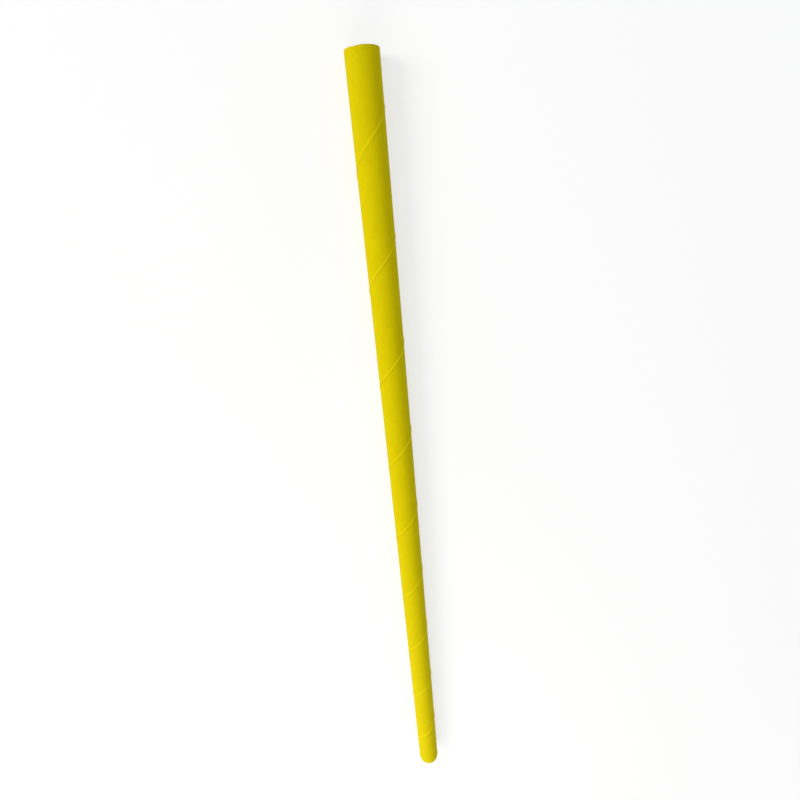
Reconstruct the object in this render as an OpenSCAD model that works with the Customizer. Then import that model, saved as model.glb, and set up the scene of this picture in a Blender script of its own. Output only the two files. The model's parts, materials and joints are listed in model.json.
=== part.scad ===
// Spirally wound paper drinking straw, lying on its side along Y.
// Millimetres, +Z up. The origin is on the surface it lies on, under the middle of its length.

/* [Tube] */
// Outside diameter of the wound tube
outer_d = 6; // [5:0.5:12]
// Wall, which is three strips of paper and the glue between them
wall = 0.4; // [0.3:0.05:0.8]
// Length between the two square-cut ends
straw_l = 197; // [100:1:240]

/* [Outer seam] */
// Angle of the seams, measured up from square across the tube, in degrees
seam_angle = 48; // [40:1:60]
// Where the outer seam meets the top end, in degrees round from +X towards +Z
seam_from = -142.5; // [-180:7.5:180]
// Length along the tube over which the outer strip climbs over its neighbour
lap_w = 0.4; // [0.3:0.05:1]
// Height of the outer strip's cut edge above the neighbour that it laps
lap_h = 0.05; // [0.04:0.01:0.12]

/* [Inner seam] */
// Where the inner seam meets the top end, in degrees round from +X towards +Z
inner_from = 7.5; // [-180:7.5:180]
// Gap along the tube between neighbouring turns of the inner strip
gap_w = 0.3; // [0.2:0.05:0.8]
// Depth of the gap, which is one thickness of paper
paper_t = 0.12; // [0.08:0.01:0.15]

/* [Hidden] */

outer_r = outer_d / 2;
bore_r = outer_r - wall;
// Height of the tube's axis, so that the tube lies on the crest of its outer seam
axis_z = outer_r + lap_h;
// Smoothness of the tube's round walls
tube_fn = 144;

// Distance that a seam climbs in one turn
pitch = PI * outer_d * tan(seam_angle);
// Steps in one turn of a seam, and the part of a turn by which it runs past each end
turn_steps = 48;
spare_turn = 1 / 6;
seam_rings = ceil((straw_l / pitch + 2 * spare_turn) * turn_steps);
// How far a seam's solid is rooted in the wall, and how far it stands clear in the open
root = 0.1;
clear = 0.2;

// Point beside a seam: r from the axis, dy up the tube from the seam's own line
function seam_point(from, turn, r, dy) =
    let (a = from + 360 * turn)
        [r * cos(a), straw_l / 2 - pitch * turn + dy, r * sin(a)];

// Solid that sweeps a section, given as [r, dy] points, along the whole of a seam
module seam_sweep(section, from) {
    n = len(section);
    points = [
        for (i = [0 : seam_rings])
            for (p = section)
                seam_point(from, i / turn_steps - spare_turn, p[0], p[1])
    ];
    sides = [
        for (i = [0 : seam_rings - 1])
            for (j = [0 : n - 1])
                let (a = i * n + j, b = i * n + (j + 1) % n)
                    each [[a, b, b + n], [a, b + n, a + n]]
    ];
    top_cap = [for (j = [n - 1 : -1 : 0]) j];
    bottom_cap = [for (j = [0 : n - 1]) seam_rings * n + j];
    polyhedron(points, concat(sides, [top_cap, bottom_cap]), convexity = 10);
}

// Round bar along the tube's axis
module bar(r, l) {
    rotate([90, 0, 0])
        cylinder(r = r, h = l, center = true, $fn = tube_fn);
}

// Outer strip's edge: it climbs over its neighbour from above and ends in a step that faces down the tube
module outer_lap() {
    intersection() {
        seam_sweep(
            [
                [outer_r - root, 0],
                [outer_r + lap_h, 0],
                [outer_r - root, lap_w * (lap_h + root) / lap_h]
            ],
            seam_from);
        cube([2 * outer_d, straw_l, 2 * outer_d], center = true);
    }
}

// Gap between neighbouring turns of the inner strip, open to the bore
module inner_gap() {
    seam_sweep(
        [
            [bore_r - clear, 0],
            [bore_r + paper_t, 0],
            [bore_r + paper_t, gap_w],
            [bore_r - clear, gap_w]
        ],
        inner_from);
}

module straw() {
    color("yellow")
    translate([0, 0, axis_z])
    difference() {
        union() {
            bar(outer_r, straw_l);
            outer_lap();
        }
        bar(bore_r, straw_l + 2 * clear);
        inner_gap();
    }
}

straw();
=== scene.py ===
# A spirally wound paper drinking straw, lying on a pale table top and seen from close above
import json
import math

import bmesh
import bpy
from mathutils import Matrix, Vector, noise


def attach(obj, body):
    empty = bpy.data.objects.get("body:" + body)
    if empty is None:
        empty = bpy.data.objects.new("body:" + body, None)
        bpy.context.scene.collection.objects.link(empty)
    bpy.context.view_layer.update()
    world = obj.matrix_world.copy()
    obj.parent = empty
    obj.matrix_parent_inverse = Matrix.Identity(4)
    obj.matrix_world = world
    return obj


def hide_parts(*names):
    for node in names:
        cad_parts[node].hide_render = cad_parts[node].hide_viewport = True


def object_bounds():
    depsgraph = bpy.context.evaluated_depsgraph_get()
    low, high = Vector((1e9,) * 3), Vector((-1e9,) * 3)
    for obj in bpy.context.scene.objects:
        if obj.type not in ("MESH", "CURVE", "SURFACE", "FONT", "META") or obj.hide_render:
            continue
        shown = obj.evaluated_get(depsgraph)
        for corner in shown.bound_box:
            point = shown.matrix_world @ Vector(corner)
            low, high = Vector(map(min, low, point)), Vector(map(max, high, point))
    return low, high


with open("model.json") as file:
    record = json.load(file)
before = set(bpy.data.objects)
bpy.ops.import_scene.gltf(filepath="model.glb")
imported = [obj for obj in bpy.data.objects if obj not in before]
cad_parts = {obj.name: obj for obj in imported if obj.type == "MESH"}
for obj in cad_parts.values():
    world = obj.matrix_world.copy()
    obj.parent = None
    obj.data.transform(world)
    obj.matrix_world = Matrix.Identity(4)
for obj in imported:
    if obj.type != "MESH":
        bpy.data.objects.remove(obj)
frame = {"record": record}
cadLow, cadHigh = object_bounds()  # the solid's own box, before it is dressed
mounts = {mount["name"]: mount for mount in frame["record"]["mounts"]}
mm = 0.001
print("frame loaded")


class Wire:  # a node's output that takes part in plain arithmetic
    def __init__(self, shader, socket):
        self.shader, self.socket = shader, socket

    def __add__(self, other):
        return self.shader.maths("ADD", self, other)

    def __sub__(self, other):
        return self.shader.maths("SUBTRACT", self, other)

    def __rsub__(self, other):
        return self.shader.maths("SUBTRACT", other, self)

    def __mul__(self, other):
        return self.shader.maths("MULTIPLY", self, other)

    __radd__ = __add__
    __rmul__ = __mul__

    def fade(self, start, end):  # 1 at start, easing to 0 at end
        settings = {"interpolation_type": "SMOOTHSTEP"}
        inputs = {0: self, 1: start, 2: end, 3: 1.0, 4: 0.0}
        return self.shader.add("ShaderNodeMapRange", settings, inputs)


class Shader:  # the nodes of one material or world
    def __init__(self, owner):
        owner.use_nodes = True
        self.tree = owner.node_tree
        self.tree.nodes.clear()

    def add(self, kind, settings=None, inputs=None, output=0):
        node = self.tree.nodes.new(kind)
        for name, setting in (settings or {}).items():
            setattr(node, name, setting)
        for name, value in (inputs or {}).items():
            if isinstance(value, Wire):
                self.tree.links.new(value.socket, node.inputs[name])
            else:
                node.inputs[name].default_value = value
        return Wire(self, node.outputs[output]) if node.outputs else None

    def maths(self, operation, *values):
        return self.add("ShaderNodeMath", {"operation": operation}, dict(enumerate(values)))

    def mix(self, factor, first, second):
        inputs = {0: factor, 6: first, 7: second}
        return self.add("ShaderNodeMix", {"data_type": "RGBA"}, inputs, 2)

    def grain(self, place, stretch, detail, roughness=0.6):
        scaled = self.add("ShaderNodeVectorMath", {"operation": "MULTIPLY"}, {0: place, 1: stretch})
        inputs = {"Vector": scaled, "Scale": 1.0, "Detail": detail, "Roughness": roughness}
        return self.add("ShaderNodeTexNoise", {}, inputs)


def addObject(name, data):
    thing = bpy.data.objects.new(name, data)
    bpy.context.scene.collection.objects.link(thing)
    return thing


# The straw: three strips of paper wound on the slant and glued into one tube

straw = {
    "outerR": mounts["outside"]["dims"]["r_mm"] * mm,
    "boreR": mounts["bore"]["dims"]["r_mm"] * mm,
    "axisZ": mounts["bore"]["pos_m"][2],
    "length": (cadHigh - cadLow).y,
    "paper": 0.12 * mm,  # one thickness of paper
    "seamAngle": 48,  # degrees up from square across the tube
    "seamFrom": -142.5,  # where the outer seam meets the top end, in degrees from +X towards +Z
    "innerFrom": 7.5,  # where the inner seam meets it
    "gapWidth": 0.3 * mm,  # between turns of the inner strip
    "lapWidth": 0.4 * mm,  # the climb of the outer strip over its neighbour
    "lapAtTop": 0.066 * mm,  # height of its cut edge at the top end
    "lapBelow": 0.108 * mm,  # and further down
    "lapTurns": 3.5,  # turns over which it grows
    "lapSpots": 9,  # places in a turn where it is pressed down more or less
    "lapSpread": 0.07,  # and by what share
    "swellWidth": 0.9 * mm,  # below the step, where the neighbour settles back
    "swellHeight": 0.026 * mm,
    "wander": 0.03 * mm,  # how far the cut edge of the strip strays
    "bends": 5,  # slow bends of it in a turn
    "frays": 61,  # and fine ones
    "frayShare": 0.35,
    "waviness": 0.006 * mm,  # how far the wall is out of true
    "wavesAround": 160,  # of the wall, in a metre
    "wavesAlong": 45,
    "edge": 0.035 * mm,  # how far the cut ends are worn round
    "cutSlant": 0.035 * mm,  # half of how far a cut is out of square
    "cutWaves": 0.02 * mm,
    "nickDepth": 0.075 * mm,
    "nickFrom": 126,  # degrees, where the nick's steep side begins
    "nickSteep": 4,  # degrees that it takes
    "nickTo": 85,  # degrees, where the other side has eased out
    "jointHalf": 0.02 * mm,  # half the fine line between two papers on a cut
    "jointDepth": 0.018 * mm,
    "columns": 144,
    "outerPlain": 12,  # rows in a turn away from the seam
    "borePlain": 8,
    "weld": 0.0004 * mm,
    "sharpFrom": 38,  # degrees between two faces that meet in an edge
}
straw["pitch"] = 2 * math.pi * straw["outerR"] * math.tan(math.radians(straw["seamAngle"]))
straw["top"] = straw["length"] / 2
straw["turns"] = math.ceil(straw["length"] / straw["pitch"])


def ease(x):
    x = min(max(x, 0), 1)
    return x * x * (3 - 2 * x)


def strayOf(turn):  # the seam's own line isn't quite true, and is the same wherever it is asked for
    slow = noise.noise((turn * straw["bends"], 0.5, 0.5))
    fine = noise.noise((turn * straw["frays"], 7.5, 0.5))
    return straw["wander"] * (slow + straw["frayShare"] * fine)


def lapOf(turn):  # height of the cut edge
    growth = ease(turn / straw["lapTurns"]) * (straw["lapBelow"] - straw["lapAtTop"])
    spread = straw["lapSpread"] * noise.noise((turn * straw["lapSpots"], 3.5, 1.5))
    return (straw["lapAtTop"] + growth) * (1 + spread)


def seamY(turn):
    return straw["top"] - straw["pitch"] * turn + strayOf(turn)


def outerRadius(turn, across):  # turn of the seam below the point, and how far up from it the point is
    room = straw["pitch"] - across
    lap = lapOf(turn) * (1 - ease(across / straw["lapWidth"]))
    swell = straw["swellHeight"] * (1 - ease(room / straw["swellWidth"]))
    return straw["outerR"] + lap + swell


def outerRows():  # how far up from its seam each row of one turn of the strip lies, from the top down
    pitch, lap, swell, rows = straw["pitch"], straw["lapWidth"], straw["swellWidth"], straw["outerPlain"]
    below = [pitch - swell * share for share in (0, 0.12, 0.26, 0.42, 0.6, 0.8, 1)]
    plain = [lap + (pitch - swell - lap) * row / rows for row in range(rows - 1, 0, -1)]
    climb = [lap * share for share in (1.3, 1, 0.85, 0.7, 0.55, 0.4, 0.25, 0.1, 0)]
    return below + plain + climb


def boreRows():  # (how far up from its seam, depth in papers) of each row of the inner strip, bottom first
    gap, pitch, rows = straw["gapWidth"], straw["pitch"], straw["borePlain"]
    plain = [(gap + (pitch - gap) * row / rows, 0) for row in range(rows + 1)]
    return [(0, 1), (gap / 2, 1), (gap, 1)] + plain


def endDip(angle):  # how far a cut falls short: it is a touch slanted and uneven, with one small nick
    around = math.degrees(angle) % 360
    steep = ease((straw["nickFrom"] - around) / straw["nickSteep"])
    eased = ease((around - straw["nickTo"]) / (straw["nickFrom"] - straw["nickSteep"] - straw["nickTo"]))
    slant = straw["cutSlant"] * (1 - math.cos(angle))
    wave = noise.noise((math.cos(angle) * 1.7, math.sin(angle) * 1.7, 4.5))
    return straw["nickDepth"] * steep * eased + slant + straw["cutWaves"] * (0.5 + 0.5 * wave)


def stripPlace(turn, across):  # the same point on the flat strip, in millimetres along it and across it
    slant = math.radians(straw["seamAngle"])
    oneTurn = 2 * math.pi * straw["outerR"] * math.cos(slant) + straw["pitch"] * math.sin(slant)
    return (turn * oneTurn - across * math.sin(slant)) / mm, across * math.cos(slant) / mm


def wallPoint(angle, radius, y):  # a point of the wall, pressed flat where it would sink into the table
    spot = Vector((math.cos(angle) * radius, y, math.sin(angle) * radius))
    waves = Vector((straw["wavesAround"], straw["wavesAlong"], straw["wavesAround"]))
    grown = 1 + straw["waviness"] * noise.noise(spot * waves) / radius
    return Vector((spot.x * grown, y, max(spot.z * grown + straw["axisZ"], 0)))


def outerWall(share, angle, high, low):  # rows past a cut end are folded onto it, and welded later
    points = []
    for turn in range(straw["turns"] + 1):
        line = share + turn
        for across in outerRows():
            y, at, up = seamY(line) + across, line, across
            if not low < y < high:
                y = min(max(y, low), high)
                at = share + math.ceil((straw["top"] - y) / straw["pitch"] - share)
                up = min(max(y - seamY(at), 0), straw["pitch"])
            points.append((wallPoint(angle, outerRadius(at, up), y), stripPlace(at, up)))
    return points


def boreWall(share, angle, high, low):
    shift = ((straw["seamFrom"] - straw["innerFrom"]) / 360) % 1
    points = []
    for turn in range(straw["turns"] + 1, -3, -1):  # from past the bottom end to past the top
        line = share + shift + turn
        for up, deep in boreRows():
            y = straw["top"] - straw["pitch"] * line + up
            if not low < y < high:
                y = min(max(y, low), high)
                inside = (y - straw["top"] + straw["pitch"] * line) % straw["pitch"]
                deep = 1 if inside < straw["gapWidth"] else 0
            radius = straw["boreR"] + deep * straw["paper"]
            points.append((wallPoint(angle, radius, y), stripPlace(line, up)))
    return points


def endRings(angle, outside, inside, y, side):  # across the cut, over the worn edges and the three papers
    edge, half, deep = straw["edge"], straw["jointHalf"], straw["jointDepth"]
    worn = edge * 0.3  # in from both faces, where the worn edge is halfway round
    sections = [(outside - worn, worn), (outside - edge, 0)]
    for joint in (1 / 3, 2 / 3):
        middle = outside - (outside - inside) * joint
        sections += [(middle + half, 0), (middle, deep), (middle - half, 0)]
    sections += [(inside + edge, 0), (inside + worn, worn)]
    rings = []
    for radius, sunk in sections:  # placed below the strip's cut edge, so that they take its pale colour: bare fibres, lightened as far as the painted highlight along the seam
        place = (angle * straw["outerR"] / mm, (radius - outside) / mm - 1)
        rings.append((wallPoint(angle, radius, y - side * sunk), place))
    return rings


def strawColumn(share):  # one closed loop round the wall: down the outside, over the bottom cut, up the bore
    angle = math.radians(straw["seamFrom"] + 360 * share)
    topCut = straw["top"] - endDip(angle)
    bottomCut = -straw["top"] + endDip(angle + 2)
    high, low = topCut - straw["edge"], bottomCut + straw["edge"]
    outside, bore = outerWall(share, angle, high, low), boreWall(share, angle, high, low)

    def radiusOf(point):
        return math.hypot(point[0].x, point[0].z - straw["axisZ"])

    topRings = endRings(angle, radiusOf(outside[0]), radiusOf(bore[-1]), topCut, 1)
    bottomRings = endRings(angle, radiusOf(outside[-1]), radiusOf(bore[0]), bottomCut, -1)
    return outside + bottomRings + bore + topRings[::-1]


def makeStraw():
    mesh = bmesh.new()
    strip = mesh.loops.layers.uv.new("strip")
    columns = []
    for step in range(straw["columns"] + 1):
        column = strawColumn(step / straw["columns"])
        columns.append([(mesh.verts.new(spot), place) for spot, place in column])
    rows = len(columns[0])
    for left, right in zip(columns, columns[1:]):
        for row in range(rows):
            after = (row + 1) % rows
            corners = [left[row], right[row], right[after], left[after]]
            face = mesh.faces.new([vert for vert, _ in corners])
            face.smooth = True
            for loop, (_, place) in zip(face.loops, corners):
                loop[strip].uv = place
    bmesh.ops.remove_doubles(mesh, verts=mesh.verts, dist=straw["weld"])
    bmesh.ops.dissolve_degenerate(mesh, edges=mesh.edges, dist=straw["weld"])
    bmesh.ops.recalc_face_normals(mesh, faces=mesh.faces)
    data = bpy.data.meshes.new("paperStraw")
    mesh.to_mesh(data)
    mesh.free()
    data.set_sharp_from_angle(angle=math.radians(straw["sharpFrom"]))
    return addObject("paperStraw", data)


paper = {
    "yellow": (0.86, 0.70, 0.001, 1),
    "deep": (0.78, 0.62, 0.001, 1),  # where the sheet is a little denser
    "fleck": (0.90, 0.74, 0.004, 1),  # single fibres that took less dye
    # darker band below each step: glue, and a painted shadow under the lap's cut edge
    "glue": (0.75, 0.60, 0.001, 1),
    "edgeAndHighlight": (0.96, 0.82, 0.006, 1),  # bare fibres along the strip's edge, lightened into a painted highlight where the lap climbs over its neighbour
    "fleckShare": 0.4,  # how much of each colour shows
    "glueShare": 0.6,
    "edgeAndHighlightShare": 0.62,
    "glueWidth": 0.6,  # millimetres of glue and painted shadow below each step
    "edgeAndHighlightWidth": 0.2,  # millimetres of bare edge and painted highlight, and as far again to fade
    "cloudGrain": (0.35, 0.5, 1),  # waves in a millimetre, along and across the strip
    "fibreGrain": (1.1, 5.5, 1),
    "speckGrain": (7, 9, 1),
    "fleckGrain": (2.4, 21, 1),
    "fleckFade": (0.33, 0.39),  # the part of the grain's range that counts as a fleck
    "cloudDepth": 1.2,  # how far each grain deepens the yellow
    "fibreDepth": 0.9,
    "speckDepth": 0.4,
    "depthFrom": 0.75,
    "cloudHeight": 0.030,  # how far each grain stands up, in millimetres
    "fibreHeight": 0.040,
    "speckHeight": 0.014,
    "fleckHeight": 0.003,
    "relief": 0.8,
    "gloss": 0.02,
    "roughness": 0.62,
    "roughSpread": 0.16,
}


def strawPaper():
    material = bpy.data.materials.new("yellowPaper")
    shader = Shader(material)
    place = shader.add("ShaderNodeUVMap", {"uv_map": "strip"})
    across = shader.add("ShaderNodeSeparateXYZ", {}, {0: place}, "Y")
    width = straw["pitch"] * math.cos(math.radians(straw["seamAngle"])) / mm

    clouds = shader.grain(place, paper["cloudGrain"], 3)
    fibres = shader.grain(place, paper["fibreGrain"], 4, 0.7)
    specks = shader.grain(place, paper["speckGrain"], 2)
    flecks = shader.grain(place, paper["fleckGrain"], 1).fade(*paper["fleckFade"])
    # painted highlight along each lap's climb, over the bare fibres of the strip's edge
    atEdgeAndHighlight = across.fade(paper["edgeAndHighlightWidth"], 2 * paper["edgeAndHighlightWidth"])
    # painted shadow under each step, over the glue band
    atGlueAndShadow = (width - across).fade(0, paper["glueWidth"])

    depth = clouds * paper["cloudDepth"] + fibres * paper["fibreDepth"] + specks * paper["speckDepth"]
    colour = shader.mix(depth - paper["depthFrom"], paper["yellow"], paper["deep"])
    colour = shader.mix(flecks * paper["fleckShare"], colour, paper["fleck"])
    # darkens below each step: glue and a painted shadow
    colour = shader.mix(atGlueAndShadow * paper["glueShare"], colour, paper["glue"])
    # lightens the strip's edge: bare fibres and a painted highlight
    colour = shader.mix(atEdgeAndHighlight * paper["edgeAndHighlightShare"], colour, paper["edgeAndHighlight"])

    height = fibres * paper["fibreHeight"] + specks * paper["speckHeight"]
    height = height + clouds * paper["cloudHeight"] + flecks * paper["fleckHeight"]
    bump = shader.add("ShaderNodeBump", {}, {"Strength": paper["relief"], "Distance": mm, "Height": height})
    surface = shader.add("ShaderNodeBsdfPrincipled", {}, {
        "Base Color": colour,
        "Roughness": paper["roughness"] + (fibres - 0.5) * paper["roughSpread"],
        "Specular IOR Level": paper["gloss"],
        "Normal": bump,
    })
    shader.add("ShaderNodeOutputMaterial", {}, {"Surface": surface})
    return material


piece = makeStraw()
piece.data.materials.append(strawPaper())
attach(piece, "root")
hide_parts("straw")
print("straw wound,", len(piece.data.polygons), "faces")


# The table top, the light and the camera

studio = {
    "reach": 3.0,  # half the table top's width, in metres
    "floorColour": (0.80, 0.80, 0.79, 1),  # as the straw and the light meet it
    "shadeColour": (0.44, 0.44, 0.45, 1),  # what the floor's light and shadow are seen in
    "glow": 0.65,  # plain white under them, so that the bare floor is close to white
    "whiteFrom": 0.11,  # metres from the middle of the straw, where the floor starts to fade to white
    "whiteTo": 0.3,
    "white": (1, 1, 1, 1),
    "skyColour": (0.93, 1.0, 1.0, 1),
    "skyStrength": 0.335,
}

lamps = {  # metres across and away, and degrees above the table and round from +X towards +Y
    "key": {
        "colour": (1.0, 0.975, 0.93), "power": 3.9, "size": 0.45,
        "away": 0.9, "above": 36, "around": 155,
    },
    "fill": {
        "colour": (0.93, 1.0, 0.90), "power": 0.53, "size": 0.6,
        "away": 0.9, "above": 24, "around": 4,
    },
    "bounce": {  # low light on the bottom end
        "colour": (1.0, 0.95, 0.85), "power": 0.32, "size": 0.26,
        "away": 0.3, "above": 38, "around": 246,
    },
}


def seenStraight(shader):  # 1 for what the camera sees, by itself or in gloss or through glass
    straight, glossy, through = [
        shader.add("ShaderNodeLightPath", {}, {}, name)
        for name in ("Is Camera Ray", "Is Glossy Ray", "Is Transmission Ray")
    ]
    return shader.maths("MINIMUM", straight + glossy + through, 1.0)


def makeFloor():
    reach = studio["reach"]
    data = bpy.data.meshes.new("tableTop")
    corners = [(-reach, -reach, 0), (reach, -reach, 0), (reach, reach, 0), (-reach, reach, 0)]
    data.from_pydata(corners, [], [(0, 1, 2, 3)])
    material = bpy.data.materials.new("paleTable")
    shader = Shader(material)
    matt = shader.add("ShaderNodeBsdfDiffuse", {}, {"Color": studio["floorColour"]})
    white = shader.add("ShaderNodeEmission", {}, {"Color": studio["white"], "Strength": 1.0})
    glow = shader.add("ShaderNodeEmission", {}, {"Color": studio["white"], "Strength": studio["glow"]})
    shade = shader.add("ShaderNodeBsdfDiffuse", {}, {"Color": studio["shadeColour"]})
    lit = shader.add("ShaderNodeAddShader", {}, {0: glow, 1: shade})
    place = shader.add("ShaderNodeNewGeometry", {}, {}, "Position")
    away = shader.add("ShaderNodeVectorMath", {"operation": "LENGTH"}, {0: place}, "Value")
    near = away.fade(studio["whiteFrom"], studio["whiteTo"])
    pale = shader.add("ShaderNodeMixShader", {}, {0: near, 1: white, 2: lit})
    shown = shader.add("ShaderNodeMixShader", {}, {0: seenStraight(shader), 1: matt, 2: pale})
    shader.add("ShaderNodeOutputMaterial", {}, {"Surface": shown})
    data.materials.append(material)
    addObject("tableTop", data)


def makeSky():
    world = bpy.data.worlds.new("studio")
    bpy.context.scene.world = world
    shader = Shader(world)
    white = shader.add("ShaderNodeBackground", {}, {"Color": studio["white"], "Strength": 1.0})
    inputs = {"Color": studio["skyColour"], "Strength": studio["skyStrength"]}
    soft = shader.add("ShaderNodeBackground", {}, inputs)
    shown = shader.add("ShaderNodeMixShader", {}, {0: seenStraight(shader), 1: soft, 2: white})
    shader.add("ShaderNodeOutputWorld", {}, {"Surface": shown})


def makeLamp(name, chosen):
    light = bpy.data.lights.new(name, "AREA")
    light.shape, light.size = "DISK", chosen["size"]
    light.color, light.energy = chosen["colour"], chosen["power"]
    lamp = addObject(name, light)
    up, around = math.radians(chosen["above"]), math.radians(chosen["around"])
    toward = Vector((math.cos(up) * math.cos(around), math.cos(up) * math.sin(around), math.sin(up)))
    lamp.location = toward * chosen["away"]
    lamp.rotation_euler = toward.to_track_quat("Z", "Y").to_euler()
    lamp.visible_camera = False


makeFloor()
makeSky()
for name, chosen in lamps.items():
    makeLamp(name, chosen)
print("studio lit")

view = {
    "above": 92.7 * mm,  # from the straw's axis to the camera
    "belowTop": 21.9 * mm,  # how far down the straw from its top end the camera stands
    "turn": (-24.2, -2.8, -4.7),  # from straight down: towards the bottom end, sideways, and the straw's lean
    "sensor": 36,
    "lens": 20.6,
    "nearest": 0.005,  # metres
    "farthest": 20,
}


def makeCamera():
    data = bpy.data.cameras.new("camera")
    data.sensor_width, data.lens = view["sensor"], view["lens"]
    data.clip_start, data.clip_end = view["nearest"], view["farthest"]
    camera = addObject("camera", data)
    camera.location = (0, straw["top"] - view["belowTop"], straw["axisZ"] + view["above"])
    camera.rotation_euler = [math.radians(angle) for angle in view["turn"]]
    bpy.context.scene.camera = camera


makeCamera()
bpy.context.scene.view_settings.view_transform = "Standard"
print("camera set")
